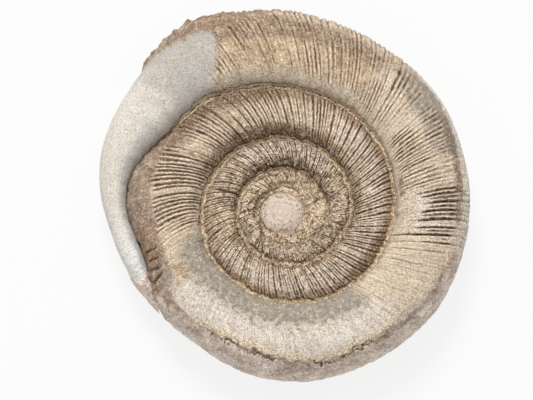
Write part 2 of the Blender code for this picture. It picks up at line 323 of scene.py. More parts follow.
# What is stored at each point, four to an attribute: how strong each tint or mark is, and at the end the
# lengths to the inner seam, to the outer seam and out over the ledge in units of LENGTH, and how marked the
# ledge is. Each strength goes up to 1, and that of the cuts between the ribs to FULL_CUT.
ATTRIBUTES = ("tints", "grounds", "lines", "lengths")
MASKS = ("cream", "white", "grey", "brown", "rock", "crust", "disc", "stain_and_shade", "cut", "thread", "dark", "worn")
LENGTHS = ("inner", "outer", "ledge", "lip")
LAYERS = MASKS + LENGTHS
LENGTH = 8 * MM
FULL_CUT = 1.8
# Patches of each tint: coil angle from, to and fade, place across from, to and fade, and strength
PATCHES = {
    "cream": (
        (296, 356, 12, 0.16, 0.66, 0.10, 0.8), (344, 392, 6, 0.0, 0.36, 0.08, 0.8),
        (384, 412, 10, 0.0, 0.52, 0.14, 0.9), (404, 474, 14, 0.0, 0.20, 0.12, 0.8),
        (164, 204, 10, 0.10, 0.52, 0.10, 0.6), (508, 552, 18, 0.35, 1.0, 0.2, 1.0),
        (346, 404, 10, 0.74, 1.1, 0.08, 1.0), (400, 446, 12, 0.66, 0.80, 0.08, 0.5),
        (232, 300, 14, 0.62, 0.80, 0.05, 0.6), (220, 344, 12, 0.80, 1.1, 0.10, 0.8),
        (560, 580, 6, -1, 1.1, 0.1, 1.0), (-520, -160, 20, 0.3, 0.62, 0.14, 0.35),
        (368, 393, 4, 0.22, 0.62, 0.1, 0.9), (343, 374, 4, -1, 0.36, 0.05, 0.9),
    ),
    "white": (
        (-305, -235, 12, 0.30, 0.80, 0.10, 0.55), (226, 306, 16, 0.50, 0.80, 0.20, 0.9),
        (562, 580, 24, 0.3, 1.0, 0.2, 0.8), (-140, 60, 16, 0.40, 0.62, 0.12, 0.6),
        (60, 112, 12, 0.36, 0.56, 0.12, 0.45), (118, 160, 12, 0.26, 0.56, 0.12, 0.35),
        (-60, -10, 16, 0.3, 0.66, 0.1, 0.5), (349, 364, 4, 0.36, 0.66, 0.06, 0.7),
        (330, 404, 10, 0.80, 1.1, 0.08, 0.9),
    ),
    "grey": (
        (204, 302, 12, -1, 0.36, 0.16, 1.0), (296, 376, 18, -1, 0.08, 0.12, 0.4),
        (382, 404, 8, 0.54, 0.80, 0.12, 1.0), (520, 580, 26, -1, 0.28, 0.14, 1.0),
        (210, 246, 8, 0.56, 0.72, 0.08, 0.6), (24, 40, 6, 0.6, 0.8, 0.1, 0.5),
    ),
    "brown": (
        (396, 470, 14, 0.50, 0.66, 0.08, 1.0), (350, 386, 6, 0.64, 0.74, 0.05, 0.7),
        (100, 150, 16, 0.60, 1.1, 0.16, 1.0), (192, 212, 8, 0.60, 0.86, 0.06, 1.0),
        (-490, -390, 20, -1, 0.55, 0.15, 0.7), (402, 476, 8, 0.80, 1.1, 0.06, 1.0),
        (-144, 110, 24, 0.72, 0.92, 0.12, 0.9), (-420, -150, 20, 0.7, 1.0, 0.1, 0.5),
        (-150, 200, 20, -1, 0.20, 0.12, 1.0),
    ),
    # Stains, partly painted shade: the dark patches on the inner walls beside the seams, most at the top of the
    # coil, also stand in for the shade on these walls
    "stain_and_shade": (
        (62, 124, 16, -1, 0.20, 0.12, 1.2), (120, 150, 10, -1, 0.2, 0.2, 0.7),
        (-308, -228, 16, -1, 0.24, 0.16, 1.1), (-150, -60, 12, -1, 0.12, 0.12, 0.6),
        (-44, -20, 8, 0.66, 0.90, 0.12, 0.6), (-228, -186, 12, -1, 0.18, 0.16, 0.7),
        (356, 388, 5, 0.66, 0.72, 0.04, 0.6), (364, 373, 2, 0.16, 0.19, 0.03, 0.8),
        (96, 146, 12, 0.70, 1.1, 0.12, 0.6), (166, 204, 6, 0.86, 1.1, 0.08, 0.5),
    ),
    "worn": (
        (196, 308, 10, -1, 0.70, 0.06, 1.0), (300, 342, 10, -1, 0.70, 0.06, 0.6),
        (388, 404, 8, -1, 0.9, 0.1, 0.6), (340, 432, 10, -1, 0.06, 0.04, 0.6),
    ),
}


def paint(points, angle, across, rib, underside):
    """The marks of each point: how strongly each mask covers it, and the height that its relief adds."""
    rough, knobs, waves = lumps(points, 0.8 * MM), lumps(points, 2.2 * MM), lumps(points, 7 * MM, 2)
    to_inner = np.linalg.norm(points - points[:, :1], axis=-1) * (1 + 0.35 * knobs)
    to_outer = np.linalg.norm(points - points[:, -1:], axis=-1) * (1 + 0.35 * knobs)
    inner_turn = angle < RIM_START
    on_outer = 1.0 - inner_turn
    # Below the outer edge the marks of the edge itself run on down the side
    fold = 2 - across if underside else across
    reach = np.minimum(fold, 1.0)
    rock = ease(-0.25, 0.25, angle - broken_edge(reach))
    layer = {name: np.zeros_like(angle) for name in LAYERS}
    # Down the side the patches end in wandering lines
    shift = (12 * waves + 6 * knobs) * ease(0.85, 1.0, reach) * on_outer
    for name, patches in PATCHES.items():
        for start, end, fade, inner, outer, across_fade, strength in patches:
            patch = stretch(angle + shift, start, end, fade) * stretch(reach, inner, outer, across_fade)
            layer[name] = np.maximum(layer[name], strength * patch)
    # Crust beyond the ledges, and on the outer edge past the shell's broken end
    last_over = reach - line(angle, LAST_LEDGE) - 0.008 * knobs
    second_over = reach - line(angle, SECOND_LEDGE) - 0.03 * knobs
    down_to_side = stretch(fold, 0.0, 1.12, 0.1)
    end_over = down_to_side * (reach - line(angle, END_LEDGE)) - 0.05 * knobs
    tip_crust = ease(562, 569, angle + 5 * knobs + 0.7 * shift)
    on_last = stretch(angle + 12 * waves + 6 * knobs, 220, 340, 16) * on_outer
    on_second = stretch(angle, 142, RIM_START, 5) * inner_turn
    end_crust = stretch(angle + 8 * waves + 4 * knobs, 452, 490, 5)
    end_crust = end_crust * ease(-0.02, 0.02, end_over) * down_to_side
    crust = tip_crust + on_last * ease(-0.01, 0.015, last_over) + on_second * ease(-0.02, 0.03, second_over)
    layer["crust"] = np.clip(crust + end_crust, 0.0, 1.0)
    layer["rock"] = rock * (1 - end_crust) * (1 - tip_crust)
    # The ribs
    cut = groove(angle, across, rib, underside)
    at_groove = groove(angle, across, np.round(rib), underside)
    cut_depth = line(angle, RIB_DEPTHS) * (1 - rock) * (1 - 0.75 * layer["crust"] * (angle < 400))
    on_top = stretch(angle, 418, 470, 8)
    strong = stretch(angle, 347, 364, 4)
    marked = 1 - (0.75 - 0.45 * on_top) * ease(0.60, 0.70, reach + 0.05 * knobs) * on_outer
    marked = marked * (1.45 - 0.4 * ease(200, 300, angle)) * (1 + 1.6 * strong) * (1 - 0.25 * on_top)
    marked = marked * at_groove * (1.0 + 0.6 * knobs + 0.7 * waves)
    marked = marked * (1 - 0.6 * ease(0.78, 0.86, reach + 0.05 * knobs) * stretch(angle, 400, 446, 8))
    layer["cut"] = np.minimum(np.clip(cut_depth / 0.34, 0.0, 1.6) * marked, 1.2 + 0.6 * strong)
    # Cracks, and the lengths by which the finish draws the seams and the ledge
    crack_depth, layer["dark"] = cracks(points, angle, fold)
    seam_on = ease(COIL_START + 40, COIL_START + 160, angle)
    layer["thread"] = seam_on * (1 - ease(505, 520, angle))
    layer["inner"] = np.minimum(to_inner / LENGTH, 1.0)
    layer["outer"] = np.minimum(to_outer / LENGTH + on_outer + ease(145, 160, angle), 1.0)
    layer["ledge"] = np.clip(last_over * LEDGE_REACH / LENGTH, -1.0, 1.0)
    layer["lip"] = (0.65 * stretch(angle, 244, 302, 14) + 0.35 * stretch(angle, 226, 344, 8)) * on_outer
    # Height
    height = -cut_depth * MM * cut
    height -= SHELL_THICKNESS * rock * (1 - rock_share(angle))
    at_rim = ease(0.8, 1.0, reach) * on_outer
    height += CRUST_HEIGHT * layer["crust"] * (0.7 + (0.9 * knobs + 0.35 * rough) * (1 - 0.65 * at_rim))
    height += 0.7 * MM * end_crust * rock * (1 + knobs)
    clefts = bell(to_inner - 0.9 * MM, 0.4 * MM) * (1 - layer["worn"])
    clefts += bell(to_outer - 1.0 * MM, 0.4 * MM) * inner_turn
    height -= 0.16 * MM * clefts * seam_on * (1 - rock)
    height -= 0.15 * MM * layer["lip"] * bell(last_over - 0.004, 0.02) + crack_depth
    smooth = np.clip(layer["worn"] + rock, 0.0, 1.0)
    middle = 1 - 0.6 * ease(-460, -300, angle) - 0.4 * ease(-190, -100, angle)
    roughness = 0.09 * knobs * (1 - 0.7 * smooth + 2.2 * middle)
    roughness = roughness + 0.08 * rough * (1 - 0.7 * smooth + 1.6 * middle)
    height += (0.14 * waves + roughness * (1 - 0.5 * at_rim)) * MM
    for name in MASKS:
        layer[name] = np.clip(layer[name], 0.0, FULL_CUT if name == "cut" else 1.0)
    if underside:
        on_side = ease(0.50, 0.86, across + 0.05 * waves)
        for name in ("cream", "white", "grey", "brown", "crust", "stain_and_shade"):
            layer[name] *= on_side
        rubbed = stretch(across, 0.15, 0.62, 0.2) * (1 - rock)
        layer["cream"] = np.maximum(layer["cream"], (0.55 + 0.8 * waves) * rubbed)
        layer["grey"] = np.maximum(layer["grey"], (0.45 - 0.9 * waves) * rubbed)
        lower_side = stretch(across, 0.60, 0.75, 0.1) * (1 - rock)
        layer["brown"] = np.maximum(layer["brown"], (0.5 + knobs) * lower_side)
        layer["worn"] = np.maximum(layer["worn"], rubbed)
        layer["lip"] *= 0.0
        height *= ease(0.0, 1.2 * MM, points[..., 2] + BASE_DEPTH)
    return height, np.stack([angle, across, rib] + [layer[name] for name in LAYERS], axis=-1)


def laid_out(columns, rows, underside):
    """Points of the stone over a grid of columns and rows, and their marks."""
    angle = (ROCK_END + columns * COLUMN_STEP)[:, None]
    lean = LEAN_COLUMNS * COLUMN_STEP * (1 - ease(SHELL_END, SHELL_END + LEAN_FADE, angle))
    across = np.broadcast_to(rows, (len(columns), len(rows)))
    bow = line(angle, RIB_BOWS) + 0.3 * wander(angle, ((5, 1.0), (13, 0.7), (31, 0.5)), 1)
    sway = bow * np.sin(math.pi * across) - line(angle, RIB_SLANTS) * np.sin(math.tau * across) / math.tau
    # The ribs run straight as seen from above
    width, _ = surface(angle + np.zeros_like(across), across, underside)
    share = (width - width[:, :1]) / np.maximum(width[:, -1:] - width[:, :1], TINY)
    at = angle + lean * share + sway * (1 - rock_share(angle)) ** 2
    radius, height = surface(at, across, underside)
    points = np.stack([radius * np.cos(np.radians(at)), radius * np.sin(np.radians(at)), height], axis=-1)
    along, over = np.gradient(points, axis=0), np.gradient(points, axis=1)
    normal = np.cross(over, along)
    if (normal[..., 2].sum() < 0) != underside:
        normal = -normal
    normal /= np.maximum(np.linalg.norm(normal, axis=-1, keepdims=True), 1e-12)
    outward = np.stack([np.cos(np.radians(at)), np.sin(np.radians(at)), np.zeros_like(at)], axis=-1)
    normal[:, -1] = outward[:, -1]
    rib = line(angle, RIB_COUNTS) + wander(angle, RIB_WAVES, 2)
    rib = rib + 0.5 * (rib_luck[2][np.round(rib).astype(int) - FIRST_RIB] - 0.5) * (across - 0.5)
    lift, marks = paint(points, at, across, rib, underside)
    lift[:, 0] = 0.0
    lift[:, -1] *= at[:, -1] >= RIM_START
    lift *= ease(0, 6, ROCK_END - at)
    points = points + normal * lift[..., None]
    if not underside:
        points[:, 0, 2] += seam_thread(at[:, 0])
        points[:, -1, 2] += seam_thread(at[:, -1] + FULL_TURN) * (at[:, -1] < RIM_START)
    return points, marks


def seam_thread(angle):
    """Height of the thread of shell along the seam at the foot of a turn's wall."""
    fade = ease(COIL_START + 40, COIL_START + 160, angle) * (1 - ease(500, 530, angle))
    return SEAM_BEAD * fade * (0.8 + 0.3 * wander(angle, ((19, 1.0), (43, 0.8)), 4))


class Shape:
    """Points, faces and each point's marks, gathered before they become one mesh."""

    def __init__(self):
        self.points, self.marks, self.faces = [], [], []
        self.count = 0

    def add_points(self, points, marks):
        self.points.append(points.reshape(-1, 3))
        self.marks.append(marks.reshape(-1, 3 + len(LAYERS)))
        index = np.arange(self.count, self.count + len(self.points[-1])).reshape(points.shape[:-1])
        self.count += index.size
        return index

    def add_quads(self, index):
        corners = np.stack([index[:-1, :-1], index[1:, :-1], index[1:, 1:], index[:-1, 1:]], axis=-1)
        self.faces.extend(corners.reshape(-1, 4).tolist())

    def stitch(self, first, second):
        """Fills between two lines of (place, point) with triangles, going on along the one behind."""
        i = j = 0
        while i < len(first) - 1 or j < len(second) - 1:
            next_first = first[i + 1][0] if i < len(first) - 1 else math.inf
            next_second = second[j + 1][0] if j < len(second) - 1 else math.inf
            if next_first <= next_second:
                self.faces.append([int(first[i][1]), int(first[i + 1][1]), int(second[j][1])])
                i += 1
            else:
                self.faces.append([int(first[i][1]), int(second[j + 1][1]), int(second[j][1])])
                j += 1


def coil_side(shape, strips, underside):
    """Adds one side's strips, and returns the edge left open round the middle of the coil."""
    ends = [first for first, _, _ in strips[1:]] + [1]
    seam, before, start_edge = [], None, None
    for (first, wall_rows, flank_rows), end in zip(strips, ends):
        wall = CREST_PLACE * np.linspace(0.0, 1.0, wall_rows + 1)[:-1] ** ROW_CROWDING
        flank = 1 - (1 - CREST_PLACE) * np.linspace(1.0, 0.0, flank_rows + 1) ** (ROW_CROWDING ** 0.5)
        rows = np.concatenate([wall, flank])
        points, marks = laid_out(np.arange(first, end), rows, underside)
        index = shape.add_points(points, marks)
        shape.add_quads(index)
        if before is not None:
            shape.stitch(list(zip(before[0], before[1])), list(zip(rows, index[0])))
        else:
            start_edge = index[0]
        before = (rows, index[-1])
        seam.extend(index[:, 0].tolist())
    return seam[:TURN_COLUMNS] + start_edge[::-1].tolist()


# The middle of the coil is covered above by a smooth raised disc a little off the axis, and below by filling.
DISC_CENTRE = (-1.1 * MM, -0.6 * MM)
DISC_RADIUS = 5.2 * MM
DISC_FOOT_HEIGHT, DISC_TOP_HEIGHT = 3.3 * MM, 4.5 * MM
DISC_SIDES = 200
START_EDGE_TURN = math.radians(6)
COLLAR_SHARES = (0.8, 0.6, 0.4, 0.25, 0.12, 0.0)
DISC_SHARES = (0.985, 0.95, 0.89, 0.8, 0.72, 0.64, 0.54, 0.44, 0.34, 0.24, 0.12)


def close_middle(shape, loop, foot_height, top_height, collar_shares, disc_shares):
    """Rings between the open edge and the disc's foot, then rings over the disc up to its hub."""
    places = np.concatenate(shape.points)
    edge = places[loop][:, :2] - DISC_CENTRE
    turn = np.unwrap(np.arctan2(edge[:, 1], edge[:, 0]))
    turn += math.tau * math.ceil(-turn[0] / math.tau)
    # The coil's first edge lies back under its leaning ribs, so both stretches are fitted into one turn
    seam_turn = turn[:TURN_COLUMNS] - turn[0]
    seam_turn *= (math.tau - START_EDGE_TURN) / seam_turn[-1]
    edge_turn = np.linspace(math.tau - START_EDGE_TURN, math.tau, len(loop) - TURN_COLUMNS + 1)
    turn = turn[0] + np.concatenate([seam_turn, edge_turn[1:]])
    far = np.hypot(edge[:, 0], edge[:, 1])
    edge_height = places[loop][:, 2]
    sides = turn[0] + np.arange(DISC_SIDES + 1) * math.tau / DISC_SIDES
    near_line = list(zip(turn, loop)) + [(turn[0] + math.tau, loop[0])]
    reach = np.interp(sides, turn, far)
    rim_height = np.interp(sides, turn, edge_height)
    for number, share in enumerate(collar_shares + disc_shares):
        on_disc = number >= len(collar_shares)
        if on_disc:
            radius = DISC_RADIUS * share * (1 + 0.045 * np.sin(2 * sides + 1) + 0.025 * np.sin(5 * sides))
            height = np.full_like(sides, foot_height + (top_height - foot_height) * (1 - share**4) ** 0.8)
            ripple = np.sin(24 * share + 1.5 * np.sin(sides) + 0.6 * np.sin(3 * sides))
            height += 0.07 * MM * ripple * (top_height > 0)
        else:
            radius = DISC_RADIUS + share * (reach - DISC_RADIUS)
            height = foot_height + share * (rim_height - foot_height)
        across_x, across_y = radius * np.cos(sides) + DISC_CENTRE[0], radius * np.sin(sides) + DISC_CENTRE[1]
        ring = np.stack([across_x, across_y, height], axis=-1)
        ring[-1] = ring[0]
        marks = np.zeros((DISC_SIDES, 3 + len(LAYERS)))
        marks[:, 0], marks[:, 1], marks[:, 2] = COIL_START, 2.4 * share, 0.55 * sides[:-1]
        marks[:, 3 + LAYERS.index("inner")] = marks[:, 3 + LAYERS.index("outer")] = 1.0
        if top_height > 0:
            ring[:, 2] += MM * lumps(ring, 1.5 * MM) * (0.05 if on_disc else 0.28)
            # A crescent round the upper left of the disc is darkened: painted shade, partly stain, in the groove
            # between the disc and the next turn
            shade = stretch(np.degrees(sides[:-1]) % 360, 80, 190, 30)
            covered = 1 - ease(0.85, 1.12, radius[:-1] / DISC_RADIUS)
            marks[:, 3 + LAYERS.index("disc")] = covered
            marks[:, 3 + LAYERS.index("stain_and_shade")] = 0.8 * shade * (number in (2, 3, 4))
            marks[:, 3 + LAYERS.index("dark")] = 0.5 * shade * (number == 4)
        index = shape.add_points(ring[:-1], marks)
        next_line = list(zip(sides, index.tolist() + [int(index[0])]))
        shape.stitch(near_line, next_line)
        near_line = next_line
    hub = shape.add_points(np.array([[*DISC_CENTRE, top_height]]), marks[:1])
    for (_, first), (_, second) in zip(near_line, near_line[1:]):
        shape.faces.append([int(first), int(second), int(hub[0])])


shape = Shape()
upper_loop = coil_side(shape, UPPER_STRIPS, underside=False)
close_middle(shape, upper_loop, DISC_FOOT_HEIGHT, DISC_TOP_HEIGHT, COLLAR_SHARES, DISC_SHARES)
lower_loop = coil_side(shape, LOWER_STRIPS, underside=True)
lower_height = -float(seam_height(np.array(UNDERSIDE_START), True))
close_middle(shape, lower_loop, lower_height, lower_height, (0.5, 0.0), (0.5,))

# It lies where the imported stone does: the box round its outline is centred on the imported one, and its lowest
# side is on the ground.
points = np.concatenate(shape.points)
stone_low, stone_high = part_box("ammonite")
middle = (points.min(axis=0) + points.max(axis=0)) / 2
AXIS_PLACE = Vector((
    (stone_low[0] + stone_high[0]) / 2 - middle[0],
    (stone_low[1] + stone_high[1]) / 2 - middle[1],
    stone_low[2] + BASE_DEPTH,
))
stone_mesh = bpy.data.meshes.new("ammonite_stone")
stone_mesh.from_pydata((points + np.array(AXIS_PLACE)).tolist(), [], shape.faces)
stone = bpy.data.objects.new("ammonite_stone", stone_mesh)
bpy.context.scene.collection.objects.link(stone)

# Marks go with each corner of a face, so that they change sharply at a seam
marks = np.concatenate(shape.marks)
corner_points = np.empty(len(stone_mesh.loops), dtype=int)
stone_mesh.loops.foreach_get("vertex_index", corner_points)
corner_marks = marks[corner_points]
rib_map = stone_mesh.uv_layers.new(name="ribs")
rib_map.data.foreach_set("uv", corner_marks[:, [2, 1]].astype(np.float32).ravel())
for number, name in enumerate(ATTRIBUTES):
    layer = stone_mesh.color_attributes.new(name, "FLOAT_COLOR", "CORNER")
    layer.data.foreach_set("color", corner_marks[:, 3 + 4 * number:7 + 4 * number].astype(np.float32).ravel())

bpy.ops.object.select_all(action="DESELECT")
bpy.context.view_layer.objects.active = stone
stone.select_set(True)
bpy.ops.object.mode_set(mode="EDIT")
bpy.ops.mesh.select_all(action="SELECT")
bpy.ops.mesh.remove_doubles(threshold=0.004 * MM)
bpy.ops.mesh.normals_make_consistent(inside=False)
bpy.ops.object.mode_set(mode="OBJECT")
stone_mesh.validate()
bpy.ops.object.shade_smooth()


# The finish. Tints lie in patches with ragged edges, and everything is freckled with light and dark grains.
BEIGE_DARK, BEIGE_LIGHT = (0.36, 0.235, 0.13, 1.0), (0.88, 0.675, 0.465, 1.0)
OCHRE = (0.47, 0.325, 0.165, 1.0)
PALE_WEAR_AND_HIGHLIGHT = (0.98, 0.82, 0.63, 1.0)
CREAM, CREAM_LIGHT = (0.57, 0.46, 0.34, 1.0), (0.80, 0.675, 0.52, 1.0)
WHITE, WHITE_LIGHT = (0.61, 0.53, 0.45, 1.0), (0.88, 0.80, 0.715, 1.0)
GREY_GREEN, GREY_PALE = (0.27, 0.23, 0.18, 1.0), (0.39, 0.345, 0.285, 1.0)
BROWN_DARK, BROWN = (0.16, 0.095, 0.052, 1.0), (0.45, 0.32, 0.22, 1.0)
NEAR_BLACK_BROWN, STAIN_AND_SHADE = (0.045, 0.020, 0.009, 1.0), (0.36, 0.22, 0.12, 1.0)
GROOVE_BROWN, GROOVE_DARK = (0.17, 0.080, 0.035, 1.0), (0.055, 0.019, 0.006, 1.0)
GROOVE_SHADE = (0.30, 0.175, 0.085, 1.0)
ROCK_GREY, ROCK_BEIGE = (0.46, 0.42, 0.375, 1.0), (0.68, 0.625, 0.55, 1.0)
ROCK_CHANNEL, ROCK_PAINTED_LIGHT = (0.52, 0.50, 0.465, 1.0), (0.80, 0.78, 0.75, 1.0)
CRUST_DARK, CRUST_LIGHT = (0.10, 0.06, 0.035, 1.0), (0.54, 0.41, 0.305, 1.0)
VENTER_DARK, VENTER_LIGHT = (0.47, 0.355, 0.27, 1.0), (1.0, 0.86, 0.75, 1.0)
DISC_PINK, DISC_DARK = (0.72, 0.60, 0.505, 1.0), (0.25, 0.17, 0.11, 1.0)
MOTTLE_BROWN = (0.22, 0.135, 0.07, 1.0)
RUST = (0.42, 0.24, 0.135, 1.0)
THREAD_BROWN, THREAD_GOLD = (0.46, 0.30, 0.16, 1.0), (0.98, 0.82, 0.58, 1.0)
CLEFT_DARK = (0.06, 0.028, 0.012, 1.0)
STONE_ROUGHNESS = 0.82
GRAIN_BUMP = 0.20 * MM


def add_node(kind, inputs=(), **settings):
    """Adds a node to the tree in hand. Each input is given as a value or as another node's output."""
    node = tree.nodes.new(kind)
    for name, value in settings.items():
        setattr(node, name, value)
    for name, value in dict(inputs).items():
        if isinstance(value, bpy.types.NodeSocket):
            tree.links.new(value, node.inputs[name])
        else:
            node.inputs[name].default_value = value
    return node


def mixed(share, low, high, blend="MIX"):
    node = add_node("ShaderNodeMix", {0: share, 6: low, 7: high}, data_type="RGBA", blend_type=blend)
    return node.outputs[2]


def reckoned(operation, first, second=0.0, third=0.0):
    return add_node("ShaderNodeMath", {0: first, 1: second, 2: third}, operation=operation).outputs[0]


def times(first, second):
    return reckoned("MULTIPLY", first, second)


def spread(value, low, high, to_low=0.0, to_high=1.0):
    """The value taken from the range low to high, cut off at both ends, to the range to_low to to_high."""
    settings = {"Value": value, "From Min": low, "From Max": high, "To Min": to_low, "To Max": to_high}
    return add_node("ShaderNodeMapRange", settings, interpolation_type="SMOOTHSTEP").outputs[0]


def stone_grain(place, per_mm, detail, roughness=0.6):
    """Noise spread to the whole range from 0 to 1."""
    settings = {"Vector": place, "Scale": per_mm, "Detail": detail, "Roughness": roughness}
    return spread(add_node("ShaderNodeTexNoise", settings).outputs["Fac"], 0.30, 0.70)


ragged = bpy.data.node_groups.new("ragged_edge", "ShaderNodeTree")
tree = ragged
for name, value in (("Mask", 0.0), ("Grain", 0.5), ("Raggedness", 0.5), ("Softness", 0.2)):
    ragged.interface.new_socket(name, in_out="INPUT", socket_type="NodeSocketFloat").default_value = value
ragged.interface.new_socket("Mask", in_out="OUTPUT", socket_type="NodeSocketFloat")
group_in = ragged.nodes.new("NodeGroupInput").outputs
group_out = ragged.nodes.new("NodeGroupOutput").inputs
shaken = reckoned("SUBTRACT", group_in["Grain"], 0.5)
shaken = reckoned("MULTIPLY_ADD", shaken, group_in["Raggedness"], group_in["Mask"])
low_edge = reckoned("SUBTRACT", 0.5, group_in["Softness"])
high_edge = reckoned("ADD", 0.5, group_in["Softness"])
ragged.links.new(spread(shaken, low_edge, high_edge), group_out[0])


def ragged_mask(mask, grain, raggedness, softness):
    """The mask with its edge broken up by a grain, by way of the shared group."""
    node = add_node("ShaderNodeGroup", node_tree=ragged)
    tree.links.new(mask, node.inputs["Mask"])
    tree.links.new(grain, node.inputs["Grain"])
    node.inputs["Raggedness"].default_value = raggedness
    node.inputs["Softness"].default_value = softness
    return node.outputs[0]


fossil = bpy.data.materials.new("fossil_stone")
fossil.use_nodes = True
tree = fossil.node_tree
shader = tree.nodes["Principled BSDF"]
where = add_node("ShaderNodeTexCoord").outputs["Object"]
place = add_node("ShaderNodeMapping", {
    "Vector": where, "Scale": (1 / MM, 1 / MM, 1 / MM), "Location": -AXIS_PLACE / MM,
}).outputs[0]
masks = {}
for number, name in enumerate(ATTRIBUTES):
    attribute = add_node("ShaderNodeAttribute", attribute_name=name)
    split = add_node("ShaderNodeSeparateColor", {0: attribute.outputs["Color"]})
    for part, output in enumerate([*split.outputs[:3], attribute.outputs["Alpha"]]):
        masks[LAYERS[4 * number + part]] = output
rib_place = add_node("ShaderNodeUVMap", uv_map="ribs").outputs[0]
rib_split = add_node("ShaderNodeSeparateXYZ", {0: rib_place})

blotches = stone_grain(place, 0.22, 4)
mottle = stone_grain(place, 0.9, 5, 0.65)
freckles = stone_grain(place, 2.4, 4, 0.7)
dust = stone_grain(place, 6.0, 2, 0.6)
along_ribs = add_node("ShaderNodeMapping", {"Vector": rib_place, "Scale": (1.6, 3.0, 1.0)}).outputs[0]
streaks = stone_grain(along_ribs, 1.0, 5, 0.7)
fine_streaks = add_node("ShaderNodeMapping", {"Vector": rib_place, "Scale": (5.0, 9.0, 1.0)}).outputs[0]
fine_streaks = stone_grain(fine_streaks, 1.0, 3, 0.7)

# How near the middle of the coil a point is, from 0 to 1, and how far it is from the disc's centre
flat_place = add_node("ShaderNodeMapping", {"Vector": place, "Scale": (1.0, 1.0, 0.0)}).outputs[0]
from_axis = add_node("ShaderNodeVectorMath", {0: flat_place}, operation="LENGTH").outputs["Value"]
middle = spread(from_axis, 11.0, 26.0, 1.0, 0.25)
disc_centre = (DISC_CENTRE[0] / MM, DISC_CENTRE[1] / MM, 0.0)
from_disc = add_node("ShaderNodeVectorMath", {0: flat_place, 1: disc_centre}, operation="DISTANCE")
from_disc = from_disc.outputs["Value"]

wandering = add_node("ShaderNodeTexNoise", {
    "Vector": place, "Scale": 0.6, "Detail": 2.0, "Roughness": 0.5, "Distortion": 1.5,
}).outputs["Fac"]

# Shell
ochre_spots = spread(add_node("ShaderNodeTexNoise", {
    "Vector": place, "Scale": 0.55, "Detail": 4.0, "Roughness": 0.7, "Distortion": 0.6,
}).outputs["Fac"], 0.50, 0.68)
tone = reckoned("MULTIPLY_ADD", streaks, 0.55, times(mottle, 0.45))
tone = spread(reckoned("MULTIPLY_ADD", blotches, 0.4, tone), 0.30, 1.05)
shell = mixed(tone, BEIGE_DARK, BEIGE_LIGHT)
shell = mixed(times(ochre_spots, 0.45), shell, OCHRE)
brown = mixed(freckles, BROWN_DARK, BROWN)
shell = mixed(ragged_mask(masks["brown"], mottle, 0.9, 0.5), shell, brown)
cream = mixed(streaks, CREAM, CREAM_LIGHT)
shell = mixed(ragged_mask(masks["cream"], mottle, 0.5, 0.5), shell, cream)
grey = mixed(mottle, GREY_GREEN, GREY_PALE)
shell = mixed(ragged_mask(masks["grey"], blotches, 0.45, 0.5), shell, grey)
white = mixed(streaks, WHITE, WHITE_LIGHT)
shell = mixed(ragged_mask(masks["white"], mottle, 0.9, 0.5), shell, white)

# Grooves between the ribs are dark hairlines, partly sediment and partly painted shade, and the crests are paler
shaken = reckoned("MULTIPLY_ADD", reckoned("SUBTRACT", mottle, 0.5), 0.30, rib_split.outputs["X"])
wave = reckoned("MULTIPLY_ADD", reckoned("COSINE", times(shaken, math.tau)), 0.5, 0.5)
narrowness = reckoned("SUBTRACT", spread(masks["cut"], 0.2, 1.2, 7.0, 1.4),
                      spread(masks["cut"], 1.2, 1.8, 0.0, 0.8))
hairline = reckoned("POWER", wave, narrowness)
hairline = times(hairline, spread(fine_streaks, 0.1, 0.8, 0.5, 1.3))
hairline = times(hairline, spread(masks["cut"], 0.0, 0.75))
# The ribs' crests are lightened: a painted highlight, partly wear, and weaker where the shell is stained brown
crest = reckoned("POWER", reckoned("SUBTRACT", 1.0, wave), 2.0)
crest = times(crest, spread(masks["cut"], 0.1, 0.7, 0.0, 0.9))
crest = times(crest, spread(fine_streaks, 0.1, 0.8, 0.1, 1.0))
crest = times(crest, spread(masks["brown"], 0.1, 0.9, 1.0, 0.5))
shell = mixed(crest, shell, PALE_WEAR_AND_HIGHLIGHT)
# Stains, partly painted shade on the walls beside the seams
stain_and_shade = mixed(reckoned("POWER", freckles, 2.0), NEAR_BLACK_BROWN, STAIN_AND_SHADE)
stain_and_shade_mask = ragged_mask(masks["stain_and_shade"], mottle, 1.1, 0.45)
shell = mixed(times(stain_and_shade_mask, 0.92), shell, stain_and_shade)
# A wider painted shade round each groove
shade = times(wave, spread(masks["cut"], 0.1, 1.2, 0.0, 0.8))
shell = mixed(shade, shell, GROOVE_SHADE)
groove_colour = mixed(spread(masks["cut"], 0.35, 1.0), GROOVE_BROWN, GROOVE_DARK)
shell = mixed(reckoned("MINIMUM", hairline, 1.0), shell, groove_colour)

# Bare mudstone, crust and the smooth disc over the middle
rock = mixed(ragged_mask(masks["cream"], blotches, 0.5, 0.5), ROCK_GREY, ROCK_BEIGE)
# The rock's tip is paler: painted light on its shaded side
rock = mixed(masks["white"], rock, ROCK_PAINTED_LIGHT)
rock = mixed(ragged_mask(masks["grey"], blotches, 0.4, 0.5), rock, ROCK_CHANNEL)
